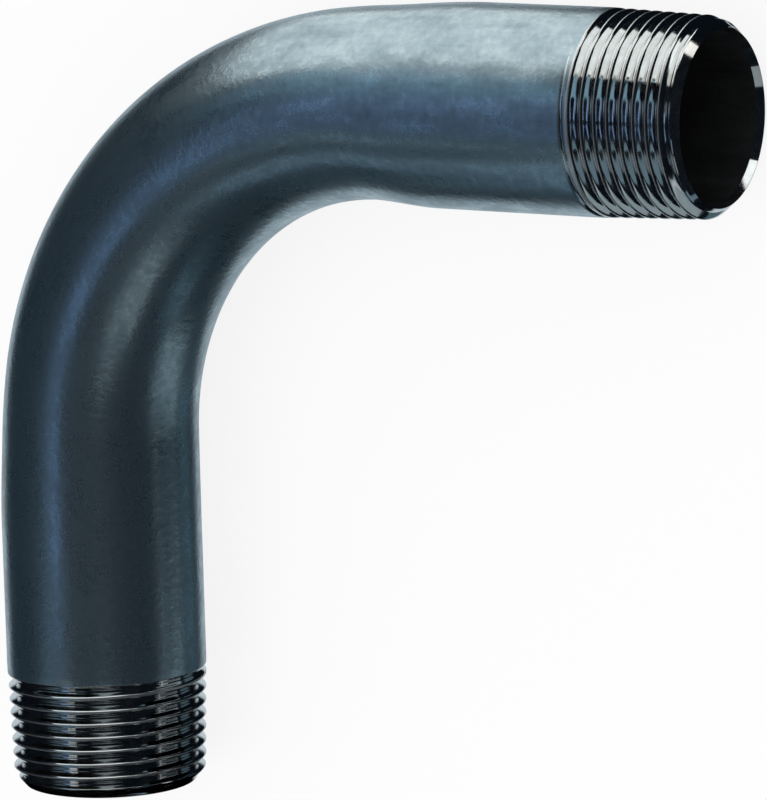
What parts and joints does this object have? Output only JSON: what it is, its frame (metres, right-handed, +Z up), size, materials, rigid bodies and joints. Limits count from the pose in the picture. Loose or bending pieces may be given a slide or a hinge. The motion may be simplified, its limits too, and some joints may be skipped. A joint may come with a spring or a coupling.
{
  "type": "threaded pipe bend",
  "caption": "Quarter bend in steel tube with a right-hand taper pipe thread on each end.",
  "frame": {"origin": "on the surface that the bend lies on, under the middle of its bounding box", "axes": "+Z up, square to the plane of the bend; leg B runs along +X and leg A along -Y"},
  "size_m": [0.138, 0.136, 0.0339],
  "materials": {
    "steel": "drawn tube with a dark blue-grey skin, threads cut bright"
  },
  "bodies": {
    "root": {"pipe_bend": "steel"}
  },
  "joints": []
}
